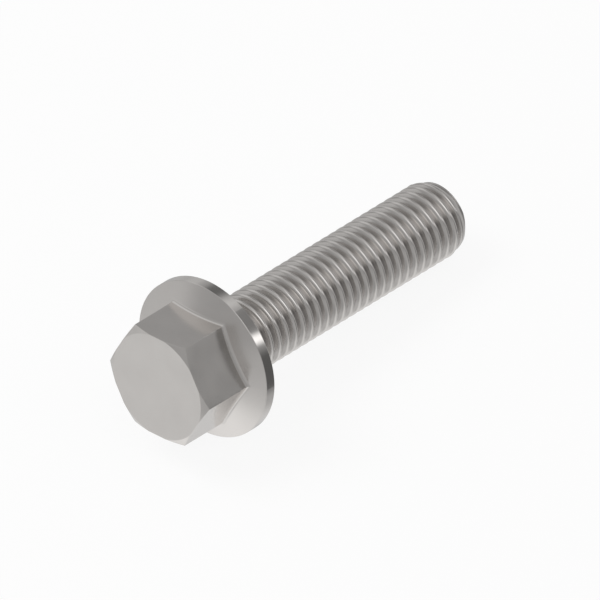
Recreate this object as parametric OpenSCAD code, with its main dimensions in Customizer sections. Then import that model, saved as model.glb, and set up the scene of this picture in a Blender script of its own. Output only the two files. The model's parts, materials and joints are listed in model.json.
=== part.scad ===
// Flange bolt with a hexagon head and a metric thread, lying on its flange rim and its tip

/* [Thread] */
// Nominal diameter of the thread and of the plain neck
thread_d = 12; // [10:0.5:14]
// Advance of the thread in one turn
pitch = 1.75; // [1.25:0.25:2]
// Free-running allowance on the diameter over the crests
thread_allowance = 0.035; // [0.02:0.005:0.1]
// Length from the bearing face to the end of the tip
length = 50; // [30:1:80]
// Plain neck between the bearing face and the first groove
neck_length = 3.5; // [2:0.5:6]
// Radius of the fillet between the neck and the bearing face
neck_fillet = 0.6; // [0.3:0.1:0.8]
// Length of the chamfer at the tip
tip_chamfer = 1.9; // [1:0.1:3]
// Depth of that chamfer, from the nominal diameter towards the axis
chamfer_depth = 0.7; // [0.4:0.1:1]

/* [Head] */
// Width of the hexagon across its flats
across_flats = 17; // [14:0.5:19]
// Height of the head from the bearing face to its top
head_height = 11.8; // [9:0.1:14]
// Width of the chamfer on the top corners, from a corner towards the axis
corner_cut = 1.2; // [0.6:0.1:2]
// Slope of that chamfer
chamfer_angle = 28; // [15:1:35]
// Turn of the hexagon about the bolt's axis, from a corner pointing down
hexagon_turn = 22.9; // [0:0.1:60]

/* [Flange] */
// Outer diameter of the flange, over the edges between its rim's flats
flange_d = 25.2; // [22:0.1:28]
// Thickness of the flange at its rim
rim_thickness = 1.75; // [1.2:0.05:2.5]
// Slope of the flange's upper face, rising to the hexagon
flange_slope = 20; // [12:1:25]
// Width of the bevel that breaks the rim's two edges
rim_bevel = 0.15; // [0.05:0.05:0.3]

/* [Hidden] */

// Proportions of the metric thread section, as shares of the pitch
DEPTH_SHARE = 0.6134;
CREST_SHARE = 1 / 8;
ROOT_SHARE = 1 / 6;
// Flat facets in one turn of the thread, and narrow flats around the flange's rim
SEGMENTS = 24;
RIM_SIDES = 48;
// How far the flange's round body stays inside the flats of its rim
RIM_LEDGE = 0.02;
// Smoothness of the round faces
$fn = 96;

crest_r = (thread_d - thread_allowance) / 2;
groove_depth = DEPTH_SHARE * pitch;
crest_width = CREST_SHARE * pitch;
root_width = ROOT_SHARE * pitch;
flank_width = (pitch - crest_width - root_width) / 2;
// Places of the section's four corners along one pitch: root, root, crest, crest
corner_offsets = [0, root_width, root_width + flank_width, root_width + flank_width + crest_width];

// Half the angle of a facet, and what the thread climbs along it
half_facet = 180 / SEGMENTS;
facet_rise = pitch / SEGMENTS;

// The last full crest ends where the tip chamfer starts, below the axis
tip_d = thread_d - 2 * chamfer_depth;
crest_end = length - tip_chamfer;
// The sweep starts inside the neck, a whole turn before the first groove
turns_below = ceil((crest_end - corner_offsets[3] - neck_length) / pitch) + 1;
sweep_start = crest_end - corner_offsets[3] - facet_rise - turns_below * pitch;
sweep_turns = turns_below + ceil(tip_chamfer / pitch) + 1;
last_column = SEGMENTS * sweep_turns;

// Width across the corners of the hexagon, and diameter of the round flat top
across_corners = across_flats / cos(30);
top_d = across_corners - 2 * corner_cut;

// The bolt rests on a flat of its flange rim and on a level facet of the last full crest
rim_flat_r = flange_d / 2 * cos(180 / RIM_SIDES);
facet_r = crest_r * cos(half_facet);
rest_angle = atan((rim_flat_r - facet_r) / (crest_end - facet_rise / 2 + rim_bevel));
axis_height = rim_flat_r * cos(rest_angle) - rim_bevel * sin(rest_angle);
// Small turn of the thread that puts both ends of that facet at one height
level_turn = asin(facet_rise * tan(rest_angle) / (2 * crest_r * sin(half_facet)));
reach_to_tip = length * cos(rest_angle) + tip_d / 2 * sin(rest_angle);
reach_to_top = head_height * cos(rest_angle) + across_flats / 2 * sin(rest_angle);
bearing_x = (reach_to_top - reach_to_tip) / 2;

// Depth of the groove at a column: none along the neck, growing to full over one turn
function run_in(column) =
    let (along = sweep_start + pitch * column / SEGMENTS)
    groove_depth * min(1, max(0, (along - neck_length) / pitch));

// Point of the thread surface at a column of the sweep and a corner of the section
function surface_point(column, corner) =
    let (turn = level_turn - half_facet + 360 * column / SEGMENTS)
    let (r = crest_r - (corner < 2 ? run_in(column) : 0))
    [r * cos(turn), r * sin(turn), sweep_start + pitch * column / SEGMENTS + corner_offsets[corner]];

// The fifth corner of a column is the first corner one turn later
function point_index(column, corner) = corner < 4 ? 4 * column + corner : 4 * (column + SEGMENTS);

// Two triangles between neighbouring columns and corners
function side_faces(column, corner) = [
    [point_index(column, corner), point_index(column, corner + 1), point_index(column + 1, corner + 1)],
    [point_index(column, corner), point_index(column + 1, corner + 1), point_index(column + 1, corner)]
];

// Endless thread around a solid core, closed by a fan to the axis at each end
module thread_sweep() {
    surface = [for (column = [0 : last_column + SEGMENTS]) for (corner = [0 : 3]) surface_point(column, corner)];
    below = len(surface);
    above = below + 1;
    axis_points = [[0, 0, sweep_start], [0, 0, sweep_start + pitch * (sweep_turns + 1)]];
    sides = [for (column = [0 : last_column - 1]) for (corner = [0 : 3]) each side_faces(column, corner)];
    lower_fan = concat(
        [for (column = [0 : SEGMENTS - 1]) [below, point_index(column, 0), point_index(column + 1, 0)]],
        [for (corner = [0 : 3]) [below, point_index(0, corner + 1), point_index(0, corner)]]
    );
    upper_fan = concat(
        [for (column = [last_column : last_column + SEGMENTS - 1])
            [above, point_index(column + 1, 0), point_index(column, 0)]],
        [for (corner = [0 : 3]) [above, point_index(last_column, corner), point_index(last_column, corner + 1)]]
    );
    polyhedron(concat(surface, axis_points), concat(sides, lower_fan, upper_fan));
}

// Room that the thread may fill: wide along the shank, narrowing to the chamfered tip
module tip_envelope() {
    side_room = 1;
    chamfer_run = tip_chamfer / (thread_d - tip_d) * 2;
    rotate_extrude()
        polygon([
            [0, 0],
            [thread_d / 2 + side_room, 0],
            [thread_d / 2 + side_room, crest_end - side_room * chamfer_run],
            [tip_d / 2, length],
            [0, length]
        ]);
}

module threaded_shank() {
    intersection() {
        thread_sweep();
        tip_envelope();
    }
}

// Plain neck with the fillet that widens it to the bearing face
module neck() {
    cylinder(d = thread_d, h = neck_length);
    rotate_extrude()
        difference() {
            square([thread_d / 2 + neck_fillet, neck_fillet]);
            translate([thread_d / 2 + neck_fillet, neck_fillet])
                circle(r = neck_fillet);
        }
}

// Round flange with a shallow cone on top and both rim edges broken
module flange() {
    body_r = rim_flat_r - RIM_LEDGE;
    rise = tan(flange_slope);
    rotate_extrude()
        polygon([
            [0, 0],
            [body_r - rim_bevel, 0],
            [body_r, -rim_bevel],
            [body_r, -rim_thickness + rim_bevel],
            [body_r - rim_bevel, -rim_thickness - rim_bevel * rise],
            [0, -rim_thickness - body_r * rise]
        ]);
    rim_belt();
}

// Belt around the rim: near round, with a flat straight below the axis for the bolt to lie on
module rim_belt() {
    edge_turns = [for (side = [0 : RIM_SIDES - 1]) (side + 0.5) * 360 / RIM_SIDES];
    translate([0, 0, rim_bevel - rim_thickness])
        linear_extrude(rim_thickness - 2 * rim_bevel)
            polygon([for (turn = edge_turns) flange_d / 2 * [cos(turn), sin(turn)]]);
}

// Hexagon prism, its corners cut back by a cone around the flat top
module hexagon() {
    chamfer_rise = (across_corners - top_d) / 2 * tan(chamfer_angle);
    intersection() {
        translate([0, 0, -head_height])
            rotate([0, 0, hexagon_turn])
                cylinder(d = across_corners, h = head_height - rim_thickness / 2, $fn = 6);
        rotate_extrude()
            polygon([
                [0, -head_height],
                [top_d / 2, -head_height],
                [across_corners / 2, -head_height + chamfer_rise],
                [across_corners / 2 + 1, -head_height + chamfer_rise],
                [across_corners / 2 + 1, 0],
                [0, 0]
            ]);
    }
}

// The bolt along its own axis, bearing face at zero and tip up
module bolt_on_axis() {
    hexagon();
    flange();
    neck();
    threaded_shank();
}

// The whole bolt is one forged piece, laid down as it comes to rest
module flange_bolt() {
    color([0.72, 0.71, 0.69])
        translate([bearing_x, 0, axis_height])
            rotate([0, 90 + rest_angle, 0])
                bolt_on_axis();
}

flange_bolt();
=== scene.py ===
import json
import math

import bpy
import numpy as np
from bpy.props import FloatProperty, FloatVectorProperty, PointerProperty
from mathutils import Matrix, Vector


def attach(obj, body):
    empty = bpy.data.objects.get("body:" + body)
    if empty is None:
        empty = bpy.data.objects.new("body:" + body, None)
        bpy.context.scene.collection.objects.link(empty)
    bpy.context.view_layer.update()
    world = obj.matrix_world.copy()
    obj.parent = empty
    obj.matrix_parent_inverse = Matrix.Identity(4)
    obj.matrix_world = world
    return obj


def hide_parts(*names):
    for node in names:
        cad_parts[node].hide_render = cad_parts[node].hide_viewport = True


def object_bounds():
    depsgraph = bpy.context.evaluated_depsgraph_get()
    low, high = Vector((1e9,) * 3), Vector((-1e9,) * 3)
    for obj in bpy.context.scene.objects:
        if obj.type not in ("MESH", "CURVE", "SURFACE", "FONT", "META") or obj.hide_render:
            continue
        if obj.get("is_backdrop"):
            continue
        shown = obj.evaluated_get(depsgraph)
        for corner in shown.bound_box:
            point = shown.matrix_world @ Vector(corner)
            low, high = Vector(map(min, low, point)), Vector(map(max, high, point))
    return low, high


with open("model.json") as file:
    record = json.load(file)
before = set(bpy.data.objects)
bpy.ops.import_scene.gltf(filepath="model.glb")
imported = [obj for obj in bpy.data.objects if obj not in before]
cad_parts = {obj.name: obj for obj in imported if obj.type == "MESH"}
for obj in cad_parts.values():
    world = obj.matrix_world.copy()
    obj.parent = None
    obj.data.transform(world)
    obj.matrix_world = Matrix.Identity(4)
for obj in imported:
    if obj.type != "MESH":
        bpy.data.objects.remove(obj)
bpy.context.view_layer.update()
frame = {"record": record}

bl_info = {
    "name": "Flange bolt",
    "version": (1, 0, 0),
    "blender": (4, 5, 0),
    "location": "3D View > Sidebar > Flange bolt",
    "description": "Builds a steel flange bolt with its thread, and the studio that it lies in",
    "category": "Add Mesh",
}

MM = 0.001
TURN = 2 * math.pi
FLAT_ANGLE = TURN / 6
HALF_FLAT = TURN / 12

# In metres: points nearer than the first are one point, and what lies within the others of the flange's
# upper edge or of the tip belongs to it
SAME_POINT = 1e-9
RIM_MARGIN = 1e-6
TIP_MARGIN = 1e-7

# Least length that anything is divided by
NEARLY_NOUGHT = 1e-20

# Section of the drawn thread, as shares of the pitch. It is shallower and rounder than the standard one
DEPTH_SHARE = 0.5
CREST_SHARE = 0.34
ROOT_SHARE = 0.08

# Grid of the surface: even steps round the axis, rows in each rounding of the profile, and the rings on the
# head's top and on the tip's end, as shares of their radius
EVEN_STEPS = 150
BREAK_ROWS = 3
RIM_ROWS = 5
FILLET_ROWS = 7
TOP_RINGS = (0, 0.4, 0.8)
END_RINGS = (1, 0.98, 0.5, 0)

# Noise in the steel, per metre, and the part of the noise that the clouds use
CLOUD_SCALE, CLOUD_DETAIL = 220.0, 4.0
GRAIN_SCALE, GRAIN_DETAIL = 1900.0, 3.0
CLOUD_RANGE = {"From_Min": 0.3, "From_Max": 0.7}

# Half the side of the floor's block, in metres
FLOOR_HALF = 2.0

# White that a camera sees where the floor ends, as bright as the floor looks beside it
BACKGROUND = 0.975

# Lamp: turn in degrees, height as a share of its level distance, and distance and width in metres
LAMP_TURN, LAMP_RISE = 128, 1.4
LAMP_DISTANCE, LAMP_WIDTH = 0.9, 0.5

# Camera, in metres: what it looks at, as steps to its right and up from the middle of the bearing face,
# its distance from there, and the nearest and farthest that it sees
AIM_RIGHT, AIM_UP = 0.0130624, 0.0079209
CAMERA_DISTANCE = 0.6
NEAREST, FARTHEST = 0.01, 20.0

# Light of the studio by height above the horizon in degrees, from the pale ground to the soft ceiling
HEIGHTS = ((-90, 0.88), (-65, 0.80), (-50, 0.68), (-35, 0.59), (-18, 0.54), (-5, 0.50), (3, 0.46),
           (10, 0.41), (25, 0.40), (45, 0.44), (60, 0.50), (90, 0.50))

# Soft boxes and dark cards around the bolt: turn, height, half width and half height in degrees, softness
# of the edge as a share, and the light that each one gives. A later card covers an earlier one
CARDS = (
    ("ground left", 155, -54, 20, 20, 0.9, 0.98),
    ("ground front", 10, -58, 30, 14, 0.8, 0.70),
    ("ground near", -92, -48, 28, 19, 0.6, 0.86),
    ("ground right", -42, -44, 28, 12, 0.9, 0.48),
    ("ground far", 49, -34, 16, 12, 0.7, 0.47),
    ("ground corner", -154, -57, 12, 12, 0.7, 0.58),
    ("ground edge", 33, -52, 9, 7, 0.6, 0.56),
    ("wall left", 118, -10, 28, 24, 0.6, 0.58),
    ("wall side", 125, 13, 23, 12, 0.35, 0.63),
    ("wall behind", 163, 6, 22, 15, 0.5, 0.40),
    ("wall right", 49, 8, 9, 9, 0.5, 0.56),
    ("wall front", -92, 8, 28, 20, 0.5, 0.44),
    ("wall front left", -142, -22, 20, 18, 0.7, 0.40),
    ("front box", -86, 62, 22, 22, 0.6, 1.25),
    ("dark band", -18, 38, 26, 9, 0.5, 0.24),
    ("dark corner", 33, 32.5, 13, 8.5, 0.6, 0.16),
    ("left box", 78, 33, 26, 24, 0.35, 0.69),
    ("dark left", 94, 17, 15, 12, 0.6, 0.34),
    ("top box", 7.5, 48, 9, 8, 0.8, 0.72),
    ("dark front", -90, 28, 8, 9, 0.6, 0.13),
    ("dark card", -51, -13, 13, 25, 0.35, 0.12),
    ("small box", -42.8, 22.2, 5.2, 5.2, 0.8, 1.58),
)


def length(name, description, millimetres):
    """A size in metres, given here in millimetres."""
    return FloatProperty(name=name, description=description, default=millimetres * MM, min=0.0,
                         unit="LENGTH", subtype="DISTANCE", precision=6)


def angle(name, description, degrees):
    """An angle in radians, given here in degrees."""
    return FloatProperty(name=name, description=description, default=math.radians(degrees),
                         unit="ROTATION", subtype="ANGLE")


def factor(name, description, value):
    """A plain number from nought to one."""
    return FloatProperty(name=name, description=description, default=value, min=0.0, max=1.0,
                         subtype="FACTOR")


def colour(name, description, value):
    """A linear colour."""
    return FloatVectorProperty(name=name, description=description, default=value, size=3, min=0.0,
                               max=1.0, subtype="COLOR")


class BoltSizes(bpy.types.PropertyGroup):
    """Sizes of the bolt, measured along and about its own axis from the bearing face."""

    thread_d: length("Thread diameter", "Nominal diameter of the thread and of the plain neck", 12)
    pitch: length("Pitch", "Advance of the thread in one turn", 1.75)
    allowance: length("Allowance", "Free-running allowance on the diameter over the crests", 0.035)
    shank: length("Length", "Length from the bearing face to the end of the tip", 50)
    neck: length("Neck", "Plain neck between the bearing face and the first groove", 3.5)
    neck_fillet: length("Neck fillet", "Radius of the fillet between neck and bearing face", 0.6)
    tip_chamfer: length("Tip chamfer", "Length of the chamfer at the tip", 1.9)
    chamfer_depth: length("Tip chamfer depth", "Depth of that chamfer towards the axis", 0.7)
    root_round: length("Root rounding", "Rounding where a flank meets the root", 0.28)
    crest_round: length("Crest rounding", "Rounding where a flank meets the crest", 0.44)
    across_flats: length("Across flats", "Width of the hexagon across its flats", 17)
    head_height: length("Head height", "Height of the head from bearing face to top", 11.8)
    corner_cut: length("Corner cut", "Width of the chamfer on the top corners", 1.2)
    chamfer_angle: angle("Chamfer angle", "Slope of that chamfer", 28)
    hexagon_turn: angle("Hexagon turn", "Turn of the hexagon, from a corner pointing down", 22.9)
    corner_round: length("Corner rounding", "Radius that breaks the hexagon's six corners", 0.07)
    edge_break: length("Edge break", "Rounding that breaks the edges of the head's top", 0.04)
    junction: length("Junction fillet", "Reach of the fillet between the flats and the flange", 0.42)
    flange_d: length("Flange diameter", "Outer diameter of the flange", 25.2)
    rim: length("Rim thickness", "Thickness of the flange at its rim", 1.75)
    flange_slope: angle("Flange slope", "Slope of the flange's upper face", 20)
    rim_round: length("Rim rounding", "Rounding of the rim's two edges", 0.08)


class SteelFinish(bpy.types.PropertyGroup):
    """Colour and sheen of the bright steel."""

    tint: colour("Steel colour", "Colour of the bare steel", (0.71, 0.685, 0.662))
    # Darker colour deep in the thread: painted shade in the grooves
    painted_groove_shade: colour("Groove colour", "Colour of the steel deep in the thread", (0.475, 0.458, 0.446))
    roughness: factor("Roughness", "Roughness of the forged head", 0.18)
    worked_roughness: factor("Worked roughness", "Roughness of rim, neck and thread", 0.135)
    bearing_roughness: factor("Bearing roughness", "Roughness of the flange's bearing face", 0.34)
    patchiness: factor("Patchiness", "How far faint clouds change the colour, as a share of it", 0.025)
    sheen_spread: factor("Sheen spread", "How far faint clouds change the roughness", 0.025)
    groove_dullness: factor("Groove dullness", "Roughness added deep in the thread", 0.05)
    grain_depth: length("Grain depth", "Depth of the fine grain in the surface", 0.0008)


class StudioLook(bpy.types.PropertyGroup):
    """Floor, light and camera."""

    floor_tint: colour("Floor colour", "Colour of the pale floor", (0.92, 0.92, 0.92))
    white_share: factor("White share", "Part of the floor that cameras see as plain white", 0.9)
    key_light: FloatProperty(name="Key light", description="Power of the lamp above the floor",
                             default=3.0, min=0.0, unit="POWER")
    view_turn: angle("View turn", "Turn of the camera about the vertical", -47.4785)
    view_height: angle("View height", "Height of the camera above the horizon", 43.843)
    view_width: length("View width", "Width of what the camera takes in", 87.912)


def settle_places():
    """Reads the bolt's own axes from the record's mounts: the middle of its bearing face, down and square
    to the axis, sideways, and along the axis to the tip. Down is the world's own down less its part along
    the axis, and sideways is the cross product of along and down."""
    mounts = {m["name"]: m for m in frame["record"]["mounts"]}
    along = np.array(mounts["thread"]["axis"], float)
    along /= np.linalg.norm(along)
    on_axis = np.array(mounts["thread"]["pos_m"], float)
    on_face = np.array(mounts["bearing_face"]["pos_m"], float)
    origin = on_axis + along * ((on_face - on_axis) @ along)
    down = np.array([0.0, 0.0, -1.0])
    down -= along * (down @ along)
    down /= np.linalg.norm(down)
    return origin, down, np.cross(along, down), along


def middle_angle(turns):
    """Angle from the middle of the nearest flat: the turn from the first corner, less whole flats and half
    a flat."""
    return np.mod(turns, FLAT_ANGLE) - HALF_FLAT


def arc_centre(apothem, rounding):
    """Distance from the axis to the centre of a corner's arc: the apothem less the radius, over the cosine
    of half a flat's angle."""
    return (apothem - rounding) / math.cos(HALF_FLAT)


def arc_slope(apothem, rounding):
    """Tangent of the angle between a corner and the end of its arc: half the radius, over the distance of
    the arc's centre plus the radius times the cosine of half a flat's angle."""
    return rounding * 0.5 / (arc_centre(apothem, rounding) + rounding * math.cos(HALF_FLAT))


def hexagon_reach(turns, apothem, rounding):
    """Distance from the axis to a hexagon at each angle from its first corner: the apothem over the cosine
    of the angle from the nearest flat's middle, and near a corner the arc of the rounding."""
    from_flat = middle_angle(turns)
    flat = apothem / np.cos(from_flat)
    centre = arc_centre(apothem, rounding)
    from_corner = HALF_FLAT - np.abs(from_flat)
    inside = np.maximum(rounding ** 2 - (centre * np.sin(from_corner)) ** 2, 0)
    arc = centre * np.cos(from_corner) + np.sqrt(inside)
    near = np.tan(from_corner) < arc_slope(apothem, rounding)
    return np.where(near, arc, flat)


def curve(start, corner, end, rows):
    """Rows of a quadratic curve: the sum of start, corner and end times (1 - t) squared, 2 t (1 - t) and
    t squared, for t from nought to one."""
    t = np.linspace(0, 1, rows).reshape(-1, *[1] * corner.ndim)
    return (1 - t) ** 2 * start + 2 * t * (1 - t) * corner + t ** 2 * end


def rounded(before, corner, after, size, rows, shares=(0.45, 0.45)):
    """Rows of a curve that rounds a corner of the profile. It starts and ends on the two edges beside the
    corner, size away from it, or at the given share of an edge that is short."""
    ends = []
    for other, share in zip((before, after), shares):
        reach = np.maximum(np.linalg.norm(other - corner, axis=-1, keepdims=True), NEARLY_NOUGHT)
        ends.append(corner + (other - corner) / reach * np.minimum(size, share * reach))
    return curve(ends[0], corner, ends[1], rows)


def profile_points(r, z, columns):
    """One point of the profile per column, as radius and place along the axis."""
    return np.stack([np.broadcast_to(r, columns).astype(float),
                     np.broadcast_to(z, columns).astype(float)], axis=-1)


def head_rows(s, turns):
    """Profile rows of head, flange and neck: a polygon whose corners depend on the angle only through the
    hexagon's reach, each corner rounded. The chamfer falls from the top by the tangent of its angle times
    the distance past its inner circle, and the flange's cone falls to the rim by the tangent of its
    slope."""
    n = len(turns)
    apothem = s.across_flats / 2
    top = -s.head_height
    turns = turns - s.hexagon_turn
    reach = hexagon_reach(turns, apothem, s.corner_round)
    fillet_reach = hexagon_reach(turns, apothem + s.junction, s.corner_round)
    corner_reach = apothem / math.cos(HALF_FLAT)
    top_r = np.minimum(corner_reach - s.corner_cut, reach - s.edge_break)
    rim_r = s.flange_d / 2
    slope = math.tan(s.flange_slope)

    def cone(r):
        return -s.rim - (rim_r - r) * slope

    centre = profile_points(0, top, n)
    top_edge = profile_points(top_r, top, n)
    chamfer_end = profile_points(reach, top + (reach - top_r) * math.tan(s.chamfer_angle), n)
    junction = profile_points(reach, cone(reach), n)
    rim_upper = profile_points(rim_r, -s.rim, n)
    rim_lower = profile_points(rim_r, 0, n)
    neck_foot = profile_points(s.thread_d / 2, 0, n)
    neck_end = profile_points(s.thread_d / 2, s.neck, n)

    side_start = profile_points(reach, cone(reach) - s.junction / np.cos(middle_angle(turns)), n)
    cone_start = profile_points(fillet_reach, cone(fillet_reach), n)
    return np.concatenate([
        [share * top_edge + (1 - share) * centre for share in TOP_RINGS],
        rounded(centre, top_edge, chamfer_end, s.edge_break, BREAK_ROWS),
        rounded(top_edge, chamfer_end, side_start, s.edge_break, BREAK_ROWS),
        curve(side_start, junction, cone_start, FILLET_ROWS),
        rounded(cone_start, rim_upper, rim_lower, s.rim_round, RIM_ROWS),
        rounded(rim_upper, rim_lower, neck_foot, s.rim_round, RIM_ROWS),
        rounded(rim_lower, neck_foot, neck_end, s.neck_fillet, FILLET_ROWS),
        neck_end[None],
    ])


def thread_rows(s, turns):
    """Profile rows of the thread, how many of them make one turn, and the tip's edge. The corners are the
    root's start and end and the crest's start, middle and end once per pitch, moved along the axis by pitch
    times the angle over a whole turn. The groove deepens over the first pitch. Past the start of the tip
    chamfer the crest corners slide down their flanks to the chamfer's cone, and what lies past either end
    is drawn together at that end."""
    n = len(turns)
    crest_r = (s.thread_d - s.allowance) / 2
    depth, crest, root = DEPTH_SHARE * s.pitch, CREST_SHARE * s.pitch, ROOT_SHARE * s.pitch
    flank = (s.pitch - crest - root) / 2
    steep = depth / flank
    crest_end = s.shank - s.tip_chamfer
    taper = s.chamfer_depth / s.tip_chamfer

    # The last full crest lies straight down, where the bolt rests on it. Spare turns cover both ends
    periods = math.ceil(s.shank / s.pitch) + 4
    first = crest_end - (root + 2 * flank + crest) + flank - s.pitch * (periods - 3)
    start = first + s.pitch * (turns[None] / TURN + np.arange(periods)[:, None])

    def cone(z):
        return s.thread_d / 2 - (z - crest_end) * taper

    cone_foot = cone(0.0)

    def root_r(z):
        return crest_r - depth * np.clip((z - s.neck) / s.pitch, 0, 1)

    rise, top, fall = start + root, start + root + flank, start + root + flank + crest
    r_rise = root_r(rise)
    steep_in = (crest_r - r_rise) / flank
    cut_rise = (cone_foot - r_rise + steep_in * rise) / (steep_in + taper)
    cut_fall = (crest_r + steep * fall - cone_foot) / (steep - taper)
    top = np.where(cone(top) < crest_r, cut_rise, top)
    fall = np.where(cone(fall) < crest_r, cut_fall, fall)
    level = (cone_foot - crest_r) / taper
    middle = np.where((level > top) & (level < fall), level, (top + fall) / 2)

    places = np.stack([start, rise, top, middle, fall], axis=1).reshape(-1, n)
    radii = np.stack([root_r(start), r_rise, np.minimum(crest_r, cone(top)),
                      np.minimum(crest_r, cone(middle)), np.minimum(crest_r, cone(fall))],
                     axis=1).reshape(-1, n)
    phase = np.mod(s.shank - start[0], s.pitch)
    end_r = np.interp(phase, [0, root, root + flank, root + flank + crest, s.pitch],
                      [crest_r - depth, crest_r - depth, crest_r, crest_r, crest_r - depth])
    end_r = np.minimum(end_r, cone(s.shank))
    radii = np.where(places > s.shank, end_r, radii)
    radii = np.where(places < s.neck, crest_r, radii)
    places = np.clip(places, s.neck, s.shank)

    points = np.stack([radii, places], axis=-1)
    before = np.concatenate([points[:1], points[:-1]])
    after = np.concatenate([points[1:], points[-1:]])

    # Rounding of each corner in turn: its size, its rows and the most that it takes of the edges beside it
    kinds = [(s.root_round, 3, (0.45, 0.45)), (s.root_round, 3, (0.45, 0.45)),
             (s.crest_round, 7, (0.42, 0.78)), (0.0, 1, (0, 0)), (s.crest_round, 3, (0.75, 0.4))]
    bands = []
    for kind, (size, rows, shares) in enumerate(kinds):
        at = slice(kind, None, len(kinds))
        if rows == 1:
            bands.append(points[at][:, None])
        else:
            corner = rounded(before[at], points[at], after[at], size, rows, shares)
            bands.append(np.swapaxes(corner, 0, 1))
    rows_per_turn = sum(rows for size, rows, shares in kinds)
    thread = np.concatenate(bands, axis=1).reshape(-1, n, 2)
    end_edge = np.stack([end_r, np.full(n, s.shank)], axis=-1)
    return thread, rows_per_turn, end_edge


def bolt_columns(s):
    """Angles of the grid's columns over one turn from a corner of the hexagon: even steps, and four more
    at each corner for its rounding, at the ends of its arc and halfway to them."""
    half = math.atan(arc_slope(s.across_flats / 2, s.corner_round))
    even = np.arange(EVEN_STEPS) * TURN / EVEN_STEPS
    beside = (np.arange(6)[:, None] * TURN / 6 + np.array([-half, -half / 2, half / 2, half])).ravel()
    return np.sort(np.mod(np.concatenate([even, beside]), TURN)) + s.hexagon_turn


def bolt_surface(s):
    """The whole bolt as one closed surface. Points are (r cos, r sin, z) of a profile row and a column's
    angle. The thread's rows climb one turn's rows where the last column meets the first. With them go
    three numbers per point: its depth in the thread's groove as a share, one where the steel is turned or
    rolled, and one on the bearing face."""
    turns = bolt_columns(s)
    n = len(turns)
    head = head_rows(s, turns)
    thread, per_turn, end_edge = thread_rows(s, turns)
    end_rows = np.stack([end_edge * [share, 1] for share in END_RINGS])

    blocks = [head, thread, end_rows]
    rows = np.concatenate(blocks)
    r, z = rows[..., 0], rows[..., 1]
    points = np.stack([r * np.cos(turns), r * np.sin(turns), z], axis=-1)
    crest_r = (s.thread_d - s.allowance) / 2
    in_thread = (z > s.neck) & (z < s.shank - TIP_MARGIN)
    deep = np.clip((crest_r - r) / (DEPTH_SHARE * s.pitch), 0, 1) * in_thread
    worked = (z > -s.rim + RIM_MARGIN).astype(float)
    bearing = ((np.abs(z) < SAME_POINT) & (r > s.thread_d / 2)).astype(float)

    head_count, thread_count = len(head), len(thread)
    index = np.arange(rows.shape[0] * n).reshape(-1, n)
    quads = []
    for low, high, shift in ((0, head_count + 1, 0),
                             (head_count, head_count + thread_count, per_turn),
                             (head_count + thread_count - 1, rows.shape[0], 0)):
        grid = index[low:high]
        a, b = grid[:-1, :-1], grid[:-1, 1:]
        c, d = grid[1:, 1:], grid[1:, :-1]
        quads.append(np.stack([a, b, c, d], axis=-1).reshape(-1, 4))
        last, first = grid[:len(grid) - shift, -1], grid[shift:, 0]
        quads.append(np.stack([last[:-1], first[:-1], first[1:], last[1:]], axis=-1))
    values = np.stack([deep.ravel(), worked.ravel(), bearing.ravel()])
    return points.reshape(-1, 3), np.concatenate(quads), values


def closed_faces(points, quads, values):
    """Merges points that lie at one place, splits the quads along a diagonal and drops the triangles whose
    corners fell together. Each row of values holds one number per point."""
    keys = np.round(points / SAME_POINT).astype(np.int64)
    unique, first, inverse = np.unique(keys, axis=0, return_index=True, return_inverse=True)
    corners = inverse.reshape(-1)[quads]
    faces = np.concatenate([corners[:, [0, 1, 2]], corners[:, [0, 2, 3]]])
    whole = ((faces[:, 0] != faces[:, 1]) & (faces[:, 1] != faces[:, 2]) & (faces[:, 2] != faces[:, 0]))
    return points[first], faces[whole], values[:, first]


def new_mesh(name, points, faces, attributes):
    """A mesh object from whole arrays, with attributes that hold a number per point. It is shaded smoothly:
    a point's normal is the sum of its faces' normals, each as long as the face is large."""
    mesh = bpy.data.meshes.new(name)
    mesh.vertices.add(len(points))
    mesh.vertices.foreach_set("co", points.astype(np.float32).ravel())
    mesh.loops.add(faces.size)
    mesh.loops.foreach_set("vertex_index", faces.astype(np.int32).ravel())
    mesh.polygons.add(len(faces))
    mesh.polygons.foreach_set("loop_start", np.arange(len(faces), dtype=np.int32) * 3)
    mesh.update(calc_edges=True)
    if mesh.validate():
        raise RuntimeError(f"the surface of {name} has broken faces")
    for attribute, values in attributes.items():
        layer = mesh.attributes.new(attribute, "FLOAT", "POINT")
        layer.data.foreach_set("value", values.astype(np.float32))
    face_points = points[faces]
    weighted = np.cross(face_points[:, 1] - face_points[:, 0], face_points[:, 2] - face_points[:, 0])
    normals = np.zeros_like(points)
    for corner in range(3):
        np.add.at(normals, faces[:, corner], weighted)
    normals /= np.maximum(np.linalg.norm(normals, axis=1, keepdims=True), NEARLY_NOUGHT)
    mesh.polygons.foreach_set("use_smooth", np.ones(len(faces), bool))
    mesh.normals_split_custom_set_from_vertices(normals.astype(np.float32))
    piece = bpy.data.objects.new(name, mesh)
    bpy.context.scene.collection.objects.link(piece)
    return piece


def add(tree, kind, settings=None, **inputs):
    """A new node of a tree. Each input is named by its socket's name, or by in_ and its number, and holds
    a value or the socket that feeds it."""
    node = tree.nodes.new(kind)
    for name, value in (settings or {}).items():
        setattr(node, name, value)
    for name, value in inputs.items():
        key = int(name[3:]) if name.startswith("in_") else name.replace("_", " ")
        if isinstance(value, bpy.types.NodeSocket):
            tree.links.new(value, node.inputs[key])
        else:
            node.inputs[key].default_value = value
    return node


def new_tree(owner):
    """The owner's node tree, emptied."""
    owner.use_nodes = True
    owner.node_tree.nodes.clear()
    return owner.node_tree


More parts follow.
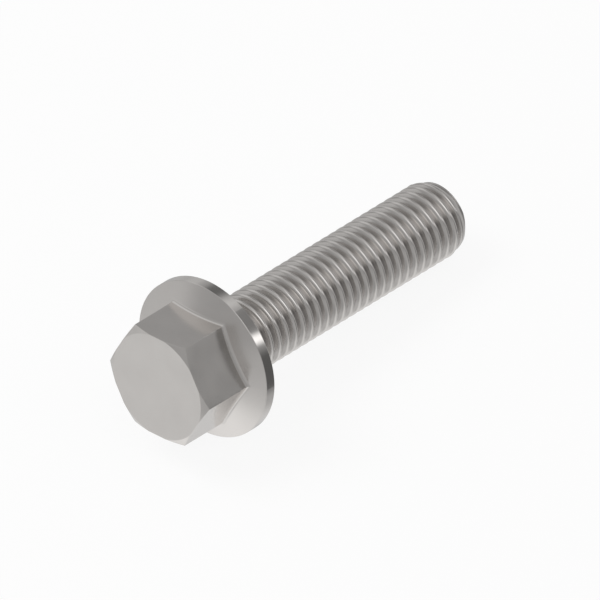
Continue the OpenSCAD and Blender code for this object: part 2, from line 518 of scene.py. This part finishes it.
def steel_material(finish):
    """Bright steel: a metal with faint clouds in its colour and sheen and a very fine grain in its surface.
    It is smoother where it was turned or rolled than on the forged head, dull on the bearing face, and
    duller deep in the thread, where its colour is also darkened as painted shade."""
    material = bpy.data.materials.new("bright_steel")
    tree = new_tree(material)
    place = add(tree, "ShaderNodeTexCoord").outputs["Object"]
    cloud = add(tree, "ShaderNodeTexNoise", Vector=place, Scale=CLOUD_SCALE,
                Detail=CLOUD_DETAIL).outputs["Fac"]
    grain = add(tree, "ShaderNodeTexNoise", Vector=place, Scale=GRAIN_SCALE,
                Detail=GRAIN_DETAIL).outputs["Fac"]
    groove, worked, bearing = (add(tree, "ShaderNodeAttribute", {"attribute_name": name}).outputs["Fac"]
                               for name in ("groove", "worked", "bearing"))

    # The colour turns to the darker groove colour with the depth in the thread: painted shade in the
    # grooves
    tint = add(tree, "ShaderNodeMix", {"data_type": "RGBA"}, in_0=groove,
               in_6=(*finish.tint, 1), in_7=(*finish.painted_groove_shade, 1)).outputs[2]
    shade = add(tree, "ShaderNodeMapRange", Value=cloud, **CLOUD_RANGE, To_Min=1 - finish.patchiness,
                To_Max=1 + finish.patchiness).outputs[0]
    tint = add(tree, "ShaderNodeVectorMath", {"operation": "SCALE"}, in_0=tint, Scale=shade).outputs[0]

    smooth = add(tree, "ShaderNodeMapRange", Value=worked, To_Min=finish.roughness,
                 To_Max=finish.worked_roughness).outputs[0]
    smooth = add(tree, "ShaderNodeMix", {"data_type": "FLOAT"}, in_0=bearing, in_2=smooth,
                 in_3=finish.bearing_roughness).outputs[0]
    dull = add(tree, "ShaderNodeMath", {"operation": "MULTIPLY_ADD"}, in_0=groove,
               in_1=finish.groove_dullness, in_2=smooth).outputs[0]
    sheen = add(tree, "ShaderNodeMapRange", Value=cloud, **CLOUD_RANGE, To_Min=-finish.sheen_spread,
                To_Max=finish.sheen_spread).outputs[0]
    sheen = add(tree, "ShaderNodeMath", in_0=dull, in_1=sheen).outputs[0]
    bump = add(tree, "ShaderNodeBump", Height=grain, Strength=1.0, Distance=finish.grain_depth)
    shader = add(tree, "ShaderNodeBsdfPrincipled", Base_Color=tint, Metallic=1.0, Roughness=sheen,
                 Normal=bump.outputs[0])
    add(tree, "ShaderNodeOutputMaterial", Surface=shader.outputs[0])
    return material


class BOLT_OT_flange_bolt(bpy.types.Operator):
    """Build the flange bolt: head, flange, neck and thread in one surface"""

    bl_idname = "bolt.flange_bolt"
    bl_label = "Flange bolt"

    def execute(self, context):
        sizes, finish = context.scene.bolt_sizes, context.scene.steel_finish
        origin, down, side, along = settle_places()
        points, quads, values = bolt_surface(sizes)
        points, faces, (deep, worked, bearing) = closed_faces(points, quads, values)
        points = origin + points @ np.stack([down, side, along])
        piece = new_mesh("bolt_surface", points, faces,
                         {"groove": deep, "worked": worked, "bearing": bearing})
        piece.data.materials.append(steel_material(finish))
        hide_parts("flange_bolt")
        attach(piece, "root")
        return {"FINISHED"}


def seen_directly(tree, path):
    """One for rays from the camera and rays through glass, and nought for all others."""
    return add(tree, "ShaderNodeMath", {"operation": "MAXIMUM"}, in_0=path["Is Camera Ray"],
               in_1=path["Is Transmission Ray"]).outputs[0]


def floor_material(look):
    """Pale floor. Cameras see it as white with a part of its own light and shadow, and shiny surfaces look
    through it to the studio's own pale ground."""
    material = bpy.data.materials.new("pale_floor")
    tree = new_tree(material)
    path = add(tree, "ShaderNodeLightPath").outputs
    share = add(tree, "ShaderNodeMath", {"operation": "MULTIPLY"}, in_0=seen_directly(tree, path),
                in_1=look.white_share)
    matt = add(tree, "ShaderNodeBsdfDiffuse", Color=(*look.floor_tint, 1))
    white = add(tree, "ShaderNodeEmission", Strength=1.0)
    pale = add(tree, "ShaderNodeMixShader", in_0=share.outputs[0], in_1=matt.outputs[0],
               in_2=white.outputs[0])
    clear = add(tree, "ShaderNodeBsdfTransparent")
    whole = add(tree, "ShaderNodeMixShader", in_0=path["Is Glossy Ray"], in_1=pale.outputs[0],
                in_2=clear.outputs[0])
    add(tree, "ShaderNodeOutputMaterial", Surface=whole.outputs[0])
    return material


def block_material():
    """Underside and walls of the floor's block: white for a low camera whose view starts inside the block,
    and clear for all other rays."""
    material = bpy.data.materials.new("floor_block")
    tree = new_tree(material)
    path = add(tree, "ShaderNodeLightPath").outputs
    clear = add(tree, "ShaderNodeBsdfTransparent")
    white = add(tree, "ShaderNodeEmission", Strength=BACKGROUND)
    whole = add(tree, "ShaderNodeMixShader", in_0=seen_directly(tree, path), in_1=clear.outputs[0],
                in_2=white.outputs[0])
    add(tree, "ShaderNodeOutputMaterial", Surface=whole.outputs[0])
    return material


def card_mask(tree, direction, turn, height, half_width, half_height, softness):
    """One inside an ellipse on the sky and nought outside it: the direction less the card's own one, seen
    in the card's frame and divided by the sines of its half angles, has a length below one."""
    turn, height = math.radians(turn), math.radians(height)
    middle = (math.cos(turn) * math.cos(height), math.sin(turn) * math.cos(height), math.sin(height))
    local = add(tree, "ShaderNodeMapping", {"vector_type": "TEXTURE"}, Vector=direction, Location=middle,
                Rotation=(0, -height, turn), Scale=(1, math.sin(math.radians(half_width)),
                                                    math.sin(math.radians(half_height))))
    away = add(tree, "ShaderNodeVectorMath", {"operation": "LENGTH"}, in_0=local.outputs[0]).outputs[1]
    return add(tree, "ShaderNodeMapRange", {"interpolation_type": "SMOOTHSTEP"}, Value=away,
               From_Min=1 + softness, From_Max=1 - softness).outputs[0]


def studio_world():
    """Light all around: a soft run of greys over the sine of the height, and on it the boxes and cards.
    Cameras see the background's white in its place."""
    world = bpy.data.worlds.new("studio")
    tree = new_tree(world)
    direction = add(tree, "ShaderNodeTexCoord").outputs["Generated"]
    rise = add(tree, "ShaderNodeSeparateXYZ", Vector=direction).outputs["Z"]
    share = add(tree, "ShaderNodeMapRange", Value=rise, From_Min=-1.0, From_Max=1.0).outputs[0]
    ramp = add(tree, "ShaderNodeValToRGB", in_0=share)
    stops = ramp.color_ramp.elements

    # A new ramp already has two stops
    for number, (height, light) in enumerate(HEIGHTS):
        place = (math.sin(math.radians(height)) + 1) / 2
        stop = stops[number] if number < 2 else stops.new(place)
        stop.position = place
        stop.color = (light, light, light, 1)
    light = ramp.outputs[0]
    for name, turn, height, half_width, half_height, softness, level in CARDS:
        mask = card_mask(tree, direction, turn, height, half_width, half_height, softness)
        light = add(tree, "ShaderNodeMix", {"data_type": "FLOAT"}, in_0=mask, in_2=light,
                    in_3=level).outputs[0]
    path = add(tree, "ShaderNodeLightPath").outputs
    light = add(tree, "ShaderNodeMix", {"data_type": "FLOAT"}, in_0=seen_directly(tree, path), in_2=light,
                in_3=BACKGROUND).outputs[0]
    background = add(tree, "ShaderNodeBackground", Color=(1, 1, 1, 1), Strength=light)
    add(tree, "ShaderNodeOutputWorld", Surface=background.outputs[0])
    return world


def lay_floor(scene, look):
    """The floor: a block whose top touches the lowest point of the bolt. The light from below passes
    through it."""
    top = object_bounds()[0].z
    corners = [(x * FLOOR_HALF, y * FLOOR_HALF, top - depth) for depth in (FLOOR_HALF, 0)
               for x, y in ((-1, -1), (1, -1), (1, 1), (-1, 1))]
    mesh = bpy.data.meshes.new("floor")
    mesh.from_pydata(corners, [], [(4, 5, 6, 7), (3, 2, 1, 0), (0, 1, 5, 4), (1, 2, 6, 5), (2, 3, 7, 6),
                                   (3, 0, 4, 7)])
    mesh.materials.append(floor_material(look))
    mesh.materials.append(block_material())
    mesh.polygons.foreach_set("material_index", [0, 1, 1, 1, 1, 1])
    floor = bpy.data.objects.new("floor", mesh)
    floor.visible_shadow = False
    scene.collection.objects.link(floor)
    floor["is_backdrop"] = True


def hang_lamp(scene, look):
    """The lamp: a soft disc that faces the bolt from the side and above, and shows in no reflection."""
    data = bpy.data.lights.new("key", "AREA")
    data.shape, data.size, data.energy = "DISK", LAMP_WIDTH, look.key_light
    lamp = bpy.data.objects.new("key", data)
    turn = math.radians(LAMP_TURN)
    aside = Vector((math.cos(turn), math.sin(turn), LAMP_RISE)).normalized()
    lamp.location = aside * LAMP_DISTANCE
    lamp.rotation_euler = aside.to_track_quat("Z", "Y").to_euler()
    lamp.visible_glossy = False
    scene.collection.objects.link(lamp)


def set_camera(scene, look):
    """The camera, without perspective. Its right and up directions come from its turn and height, and it
    looks against their cross product."""
    turn, height = look.view_turn, look.view_height
    right = np.array([math.cos(turn), math.sin(turn), 0])
    up = np.array([-math.sin(turn) * math.sin(height), math.cos(turn) * math.sin(height),
                   math.cos(height)])
    back = np.cross(right, up)
    aim = settle_places()[0] + right * AIM_RIGHT + up * AIM_UP
    camera = bpy.data.objects.new("camera", bpy.data.cameras.new("camera"))
    camera.data.type = "ORTHO"
    camera.data.ortho_scale = look.view_width
    camera.data.clip_start, camera.data.clip_end = NEAREST, FARTHEST
    camera.matrix_world = Matrix.Translation(Vector(aim + back * CAMERA_DISTANCE)) @ Matrix(
        np.stack([right, up, back], axis=1).tolist()).to_4x4()
    scene.collection.objects.link(camera)
    scene.camera = camera


class BOLT_OT_studio(bpy.types.Operator):
    """Set the floor, the light and the camera"""

    bl_idname = "bolt.studio"
    bl_label = "Studio"

    def execute(self, context):
        scene = context.scene
        lay_floor(scene, scene.studio_look)
        hang_lamp(scene, scene.studio_look)
        set_camera(scene, scene.studio_look)
        scene.world = studio_world()
        scene.view_settings.view_transform = "Standard"
        return {"FINISHED"}


class BOLT_PT_panel(bpy.types.Panel):
    """Buttons of the flange bolt"""

    bl_label = "Flange bolt"
    bl_idname = "BOLT_PT_panel"
    bl_space_type = "VIEW_3D"
    bl_region_type = "UI"
    bl_category = "Flange bolt"

    def draw(self, context):
        for operator in OPERATORS:
            self.layout.operator(operator.bl_idname)
        for group in GROUPS:
            settings = getattr(context.scene, group)
            for name in settings.__annotations__:
                self.layout.prop(settings, name)


OPERATORS = (BOLT_OT_flange_bolt, BOLT_OT_studio)
GROUPS = {"bolt_sizes": BoltSizes, "steel_finish": SteelFinish, "studio_look": StudioLook}
CLASSES = (*GROUPS.values(), *OPERATORS, BOLT_PT_panel)


def register():
    """Makes the classes known to Blender, and gives each scene its settings."""
    for item in CLASSES:
        bpy.utils.register_class(item)
    for name, group in GROUPS.items():
        setattr(bpy.types.Scene, name, PointerProperty(type=group))


def unregister():
    """Takes the settings and the classes away again."""
    for name in GROUPS:
        delattr(bpy.types.Scene, name)
    for item in reversed(CLASSES):
        bpy.utils.unregister_class(item)


def main():
    """Builds the bolt and its studio."""
    register()
    bpy.ops.bolt.flange_bolt()
    bpy.ops.bolt.studio()


if __name__ == "__main__":
    main()
